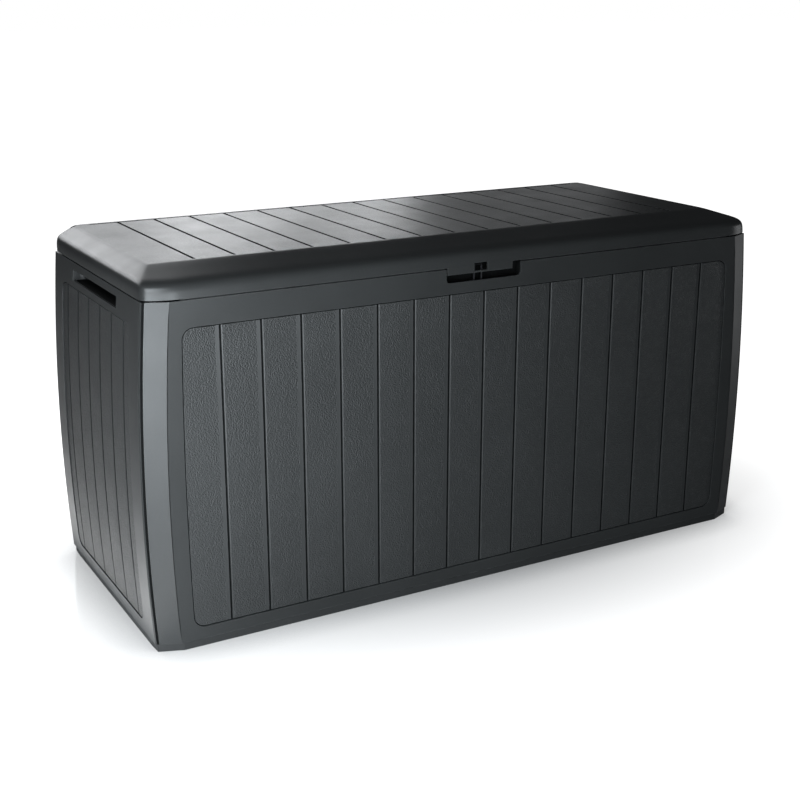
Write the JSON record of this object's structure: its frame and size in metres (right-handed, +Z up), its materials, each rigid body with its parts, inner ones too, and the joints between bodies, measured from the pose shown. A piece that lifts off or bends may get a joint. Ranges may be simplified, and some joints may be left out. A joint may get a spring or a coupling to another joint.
{
  "type": "deck storage box",
  "caption": "Long anthracite garden storage box with board-patterned bowed panels, hand grips in the ends and a hinged lid with a padlock tab.",
  "frame": {"origin": "on the floor under the middle of the box", "axes": "+X along the length to the right end, -Y out of the front, +Z up"},
  "size_m": [1.16, 0.47, 0.583],
  "materials": {
    "panel_plastic": "satin moulded polypropylene, fine leather grain on the boards",
    "lid_plastic": "satin moulded polypropylene",
    "base_plastic": "satin moulded polypropylene",
    "zinc_steel": "zinc plated",
    "dark_steel": "black zinc plated"
  },
  "bodies": {
    "box": {"floor_panel": "base_plastic", "front_panel": "panel_plastic", "back_panel": "panel_plastic", "left_end_panel": "panel_plastic", "right_end_panel": "panel_plastic", "lock_staple": "dark_steel", "hinge_pin_1": "zinc_steel", "hinge_pin_2": "zinc_steel", "hinge_pin_3": "zinc_steel", "hinge_pin_4": "zinc_steel", "corner_screw_1": "zinc_steel", "corner_screw_2": "zinc_steel", "corner_screw_3": "zinc_steel", "corner_screw_4": "zinc_steel", "corner_screw_5": "zinc_steel", "corner_screw_6": "zinc_steel", "corner_screw_7": "zinc_steel", "corner_screw_8": "zinc_steel", "floor_screw_1": "zinc_steel", "floor_screw_2": "zinc_steel", "floor_screw_3": "zinc_steel", "floor_screw_4": "zinc_steel", "floor_screw_5": "zinc_steel", "floor_screw_6": "zinc_steel", "floor_screw_7": "zinc_steel", "floor_screw_8": "zinc_steel", "floor_screw_9": "zinc_steel", "floor_screw_10": "zinc_steel"},
    "lid": {"lid_shell": "lid_plastic"}
  },
  "joints": [
    {"name": "lid_hinge", "type": "hinge", "parent": "box", "child": "lid", "pos_m": [0, 0.227, 0.555], "axis": [-1, 0, 0], "range_deg": [0, 100]}
  ]
}
